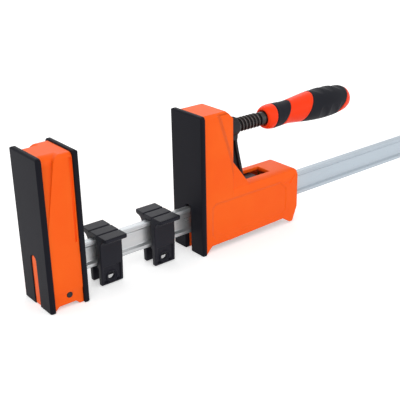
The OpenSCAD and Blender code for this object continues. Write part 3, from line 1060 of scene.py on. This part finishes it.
@dataclass
class Handle(SubAssembly):
    """The handle on the screw: a hard core with two soft grips moulded over it.

    Each station is a share of the handle's length and its radius there in millimetres.
    Each edge between two colours is a distance from the collar in millimetres, and how
    far the edge tilts in degrees. All tilts point the same way, edge_roll round the axis.
    """

    body: str = "screw"
    columns: int = 96
    stations: tuple[tuple[float, float], ...] = (
        (0, 10.2), (0.008, 11.8), (0.024, 13.2), (0.07, 14.6), (0.144, 14.4), (0.247, 13.8), (0.371, 15.6),
        (0.505, 17.7), (0.655, 18.9), (0.783, 18.5), (0.875, 16.9), (0.937, 15), (0.979, 11), (1, 5))
    edges: tuple[tuple[float, float], ...] = ((12.5, 10), (33, 31), (66.2, 31), (129, 29))
    edge_roll: float = math.radians(78)
    edge_passes: int = 12
    core_rows: tuple[int, ...] = (24, 10, 30, 24, 34)
    core_lip: float = 0.35 * MM
    bore_clearance: float = 0.3 * MM
    bore_depth: float = 4 * MM
    bore_flare: float = 0.2 * MM
    flare_depth: float = 1 * MM
    grip_depth: float = 2 * MM
    grip_lip: float = 0.4 * MM
    grip_clearance: float = 0.05 * MM
    grip_inner_rows: int = 6
    seam: float = 0.15 * MM
    dimple_starts: tuple[float, ...] = (88 * MM, 105 * MM, 122 * MM)
    dimple_turns: tuple[float, ...] = (90, 210, 330)
    dimple_half_length: float = 7.5 * MM
    dimple_half_angle: float = 34
    dimple_twist: float = 1.6 / MM
    dimple_depth: float = 1.2 * MM
    dimple_power: float = 0.8
    collar: float = field(init=False)
    length: float = field(init=False)
    angles: np.ndarray = field(init=False)

    def __post_init__(self) -> None:
        """Reads from the frame where the handle begins and how long it is, and spaces its columns."""
        low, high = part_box("handle_core")
        self.collar = low[0]
        self.length = high[0] - low[0]
        self.angles = np.linspace(0, 2 * math.pi, self.columns, endpoint=False)

    def build(self) -> None:
        """Makes the core, the narrow band at its front and the long grip."""
        self.build_core()
        self.build_grip("handle_front_band", 0, 16)
        self.build_grip("handle_rear_grip", 2, 90, dimpled=True)

    def outline(self, along: np.ndarray) -> np.ndarray:
        """Gives the handle's radius.

        It follows a cubic between the stations, and the slope at a station is the mean
        slope of its neighbours.

        Args:
            along: Distances from the collar.

        Returns:
            The radius at each.
        """
        x = np.array([share for share, _ in self.stations]) * self.length
        r = np.array([radius for _, radius in self.stations]) * MM
        slope = np.gradient(r, x)
        k = np.clip(np.searchsorted(x, along) - 1, 0, len(x) - 2)
        step = x[k + 1] - x[k]
        t = np.clip((along - x[k]) / step, 0, 1)
        return ((1 + 2 * t) * (1 - t) ** 2 * r[k] + t * (1 - t) ** 2 * step * slope[k]
                + t ** 2 * (3 - 2 * t) * r[k + 1] + t ** 2 * (t - 1) * step * slope[k + 1])

    def edge(self, number: int) -> np.ndarray:
        """Gives, round the handle, how far from the collar a colour edge lies.

        The edge is where a tilted plane cuts the outline, found by repeating
        distance = start + tan(tilt) * radius(distance) * cos(angle - edge_roll).

        Args:
            number: The edge's number.

        Returns:
            One distance for each column.
        """
        start, tilt = self.edges[number]
        swing = math.tan(math.radians(tilt)) * np.cos(self.angles - self.edge_roll)
        along = np.full(self.columns, start * MM)
        for _ in range(self.edge_passes):
            along = start * MM + swing * self.outline(along)
        return along

    def band(self, first: np.ndarray, last: np.ndarray, rows: int) -> np.ndarray:
        """Gives rows of distances that pass evenly from one edge to the next."""
        t = np.linspace(0, 1, rows)[:, None]
        return first * (1 - t) + last * t

    def turned(self, name: str, along: np.ndarray, radius: np.ndarray, finish: Finish, node: str) -> None:
        """Makes a piece from rings round the screw.

        Args:
            name: The piece's name.
            along: Distances from the collar, one row for each ring.
            radius: The radius at each.
            finish: The piece's finish.
            node: CAD node that it stands for.
        """
        points = round_x(self.collar + along, radius, self.angles)
        new_piece(name, points, ring_faces(len(along), self.columns).tolist(), self.body, finish, node)

    def build_core(self) -> None:
        """Makes the hard core: full size where its colour shows, drawn in under the grips.

        Rows follow the slanted edges, so each step down to a grip runs along its edge.
        """
        around = np.ones((1, self.columns))
        bore = SCREW_RADIUS + self.bore_clearance
        along = [self.bore_depth * around, self.bore_depth * around, self.flare_depth * around]
        radius = [0 * around, bore * around, (bore + self.bore_flare) * around]
        marks = [0 * around[0], *(self.edge(k) for k in range(len(self.edges))), self.length * around[0]]
        last = len(self.core_rows) - 1
        for k, rows in enumerate(self.core_rows):
            stretch = self.band(marks[k], marks[k + 1], rows)
            full = self.outline(stretch)
            if k % 2:
                full -= self.grip_depth
            elif k < last:
                full[-1] -= self.core_lip
            if k % 2 == 0 and k > 0:
                full[0] -= self.core_lip
            along.append(stretch)
            radius.append(full)
        along.append(self.length * around)
        radius.append(0 * around)
        self.turned("handle_core_skin", np.concatenate(along), np.concatenate(radius),
                    Finish.handle_orange, "handle_core")

    def build_grip(self, node: str, first: int, rows: int, dimpled: bool = False) -> None:
        """Makes a soft grip between two edges, as a closed ring with rounded lips.

        Args:
            node: CAD node that it stands for.
            first: Number of the edge nearer the jaw. The grip ends at the next one.
            rows: Rings along its outside.
            dimpled: Whether it has dimples.
        """
        start, end = self.edge(first) + self.seam, self.edge(first + 1) - self.seam
        outer = self.band(start, end, rows)
        radius = self.outline(outer)
        radius[[0, -1]] -= self.grip_lip
        if dimpled:
            radius -= self.dimples(outer)
        inner = self.band(end, start, self.grip_inner_rows)
        under = self.outline(inner) - self.grip_depth + self.grip_clearance
        self.turned(node + "_skin", np.concatenate([outer, inner, outer[:1]]),
                    np.concatenate([radius, under, radius[:1]]), Finish.soft_grip, node)

    def dimples(self, along: np.ndarray) -> np.ndarray:
        """Gives the depth of the slanted oval dimples round a grip.

        In each dimple it is dimple_depth * (1 - u^2 - v^2) ^ dimple_power. There u is the
        distance from the dimple's middle over half its length, and v the angle from its
        slanted midline over half its width.

        Args:
            along: Distances from the collar, one row for each ring.

        Returns:
            The depth at each.
        """
        degrees = np.degrees(self.angles)
        depth = np.zeros_like(along)
        for middle in self.dimple_starts:
            for turn in self.dimple_turns:
                offset = along - middle
                u = offset / self.dimple_half_length
                aside = (degrees - turn + 180) % 360 - 180
                v = (aside - self.dimple_twist * offset) / self.dimple_half_angle
                depth += self.dimple_depth * np.clip(1 - u ** 2 - v ** 2, 0, 1) ** self.dimple_power
        return depth


# ---------- camera and studio ----------


@dataclass(frozen=True)
class PhotoCamera:
    """The camera of the photograph, placed from the fixed jaw's clamping face.

    The turn is that of a camera that looked straight down: its tilt about X, its lean
    about Y and its heading about Z, in degrees.
    """

    place: tuple[float, float, float] = (-352.2 * MM, -657.1 * MM, 412.4 * MM)
    turn: tuple[float, float, float] = (66.9915, 1.0193, -38.7360)
    lens_mm: float = 71.86
    sensor_mm: float = 36
    farthest: float = 50

    def build(self) -> None:
        """Makes the camera and the scene's view settings."""
        data = bpy.data.cameras.new("photo_camera")
        data.lens = self.lens_mm
        data.sensor_width = self.sensor_mm
        data.clip_end = self.farthest
        camera = bpy.data.objects.new("photo_camera", data)
        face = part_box("fixed_jaw_face")[1][0]
        turn = Euler([math.radians(angle) for angle in self.turn]).to_matrix().to_4x4()
        camera.matrix_world = Matrix.Translation(Vector(self.place) + Vector((face, 0, 0))) @ turn
        scene = bpy.context.scene
        scene.collection.objects.link(camera)
        scene.camera = camera
        scene.view_settings.view_transform = "Standard"


@dataclass(frozen=True)
class Lamp:
    """A square lamp that points at the clamp, with its side in metres and power in watts."""

    name: str
    place: tuple[float, float, float]
    side: float
    power: float
    aim: tuple[float, float, float] = (-0.15, 0, 0.08)

    def build(self) -> None:
        """Makes the lamp."""
        data = bpy.data.lights.new(self.name, "AREA")
        data.shape = "SQUARE"
        data.size = self.side
        data.energy = self.power
        lamp = bpy.data.objects.new(self.name, data)
        ray = Vector(self.aim) - Vector(self.place)
        lamp.matrix_world = Matrix.Translation(self.place) @ ray.to_track_quat("-Z", "Y").to_matrix().to_4x4()
        bpy.context.scene.collection.objects.link(lamp)


@dataclass(frozen=True)
class Studio:
    """Pale floor, even sky and soft lamps."""

    floor_side: float = 30
    floor_grey: float = 0.86
    floor_roughness: float = 0.9
    floor_glow: float = 0.4
    sky: float = 0.8
    lamps: tuple[Lamp, ...] = (
        Lamp("key", (-1.6, -1.6, 2.6), 1.6, 18), Lamp("side", (0.6, -2.6, 1.1), 1.8, 9),
        Lamp("back", (1.2, 2.2, 2.2), 1.6, 12))

    def build(self) -> None:
        """Makes the sky, the floor and the lamps."""
        self.build_sky()
        self.build_floor()
        for lamp in self.lamps:
            lamp.build()

    def build_sky(self) -> None:
        """Makes a sky that is white to the camera and in reflections, and grey as a light."""
        world = bpy.data.worlds.new("studio")
        bpy.context.scene.world = world
        world.use_nodes = True
        tree = world.node_tree
        tree.nodes.clear()
        strength = tree.nodes.new("ShaderNodeMix")
        strength.inputs[2].default_value = self.sky
        strength.inputs[3].default_value = 1.0
        tree.links.new(self.seen(tree), strength.inputs[0])
        back = tree.nodes.new("ShaderNodeBackground")
        back.inputs[0].default_value = (1, 1, 1, 1)
        tree.links.new(strength.outputs[0], back.inputs[1])
        out = tree.nodes.new("ShaderNodeOutputWorld")
        tree.links.new(back.outputs[0], out.inputs[0])

    @staticmethod
    def seen(tree: bpy.types.NodeTree) -> bpy.types.NodeSocket:
        """Tells the rays that show the backdrop as it is from those that light by it.

        Args:
            tree: The node tree that asks.

        Returns:
            1 for camera, glossy and transmission rays, and 0 for others.
        """
        path = tree.nodes.new("ShaderNodeLightPath")
        shown = path.outputs["Is Camera Ray"]
        for kind in ("Is Glossy Ray", "Is Transmission Ray"):
            either = tree.nodes.new("ShaderNodeMath")
            either.operation = "MAXIMUM"
            tree.links.new(shown, either.inputs[0])
            tree.links.new(path.outputs[kind], either.inputs[1])
            shown = either.outputs[0]
        return shown

    def build_floor(self) -> None:
        """Makes the floor: a pale plane that keeps the clamp's shadow."""
        half = self.floor_side / 2
        mesh = bpy.data.meshes.new("floor")
        mesh.from_pydata([(-half, -half, 0), (half, -half, 0), (half, half, 0), (-half, half, 0)], [],
                         [(0, 1, 2, 3)])
        floor = bpy.data.objects.new("floor", mesh)
        bpy.context.scene.collection.objects.link(floor)
        g = Graph("floor_paper")
        glow = g.calculated("MULTIPLY", self.seen(g.tree), self.floor_glow)
        g.put(Base_Color=(self.floor_grey, self.floor_grey, self.floor_grey, 1), Specular_IOR_Level=0.0,
              Roughness=self.floor_roughness, Emission_Color=(1, 1, 1, 1), Emission_Strength=glow)
        mesh.materials.append(g.material)


def main() -> None:
    logging.basicConfig(level=logging.INFO, format="%(name)s %(message)s")
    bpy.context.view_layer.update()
    PhotoCamera().build()
    for part in (RailFrame(), RailClip("near_clip", "near_rail_clip"), RailClip("far_clip", "far_rail_clip"),
                 MovingJaw(), SlidingArm(), Screw(), Handle()):
        part.build()
    Studio().build()


if __name__ == "__main__":
    main()
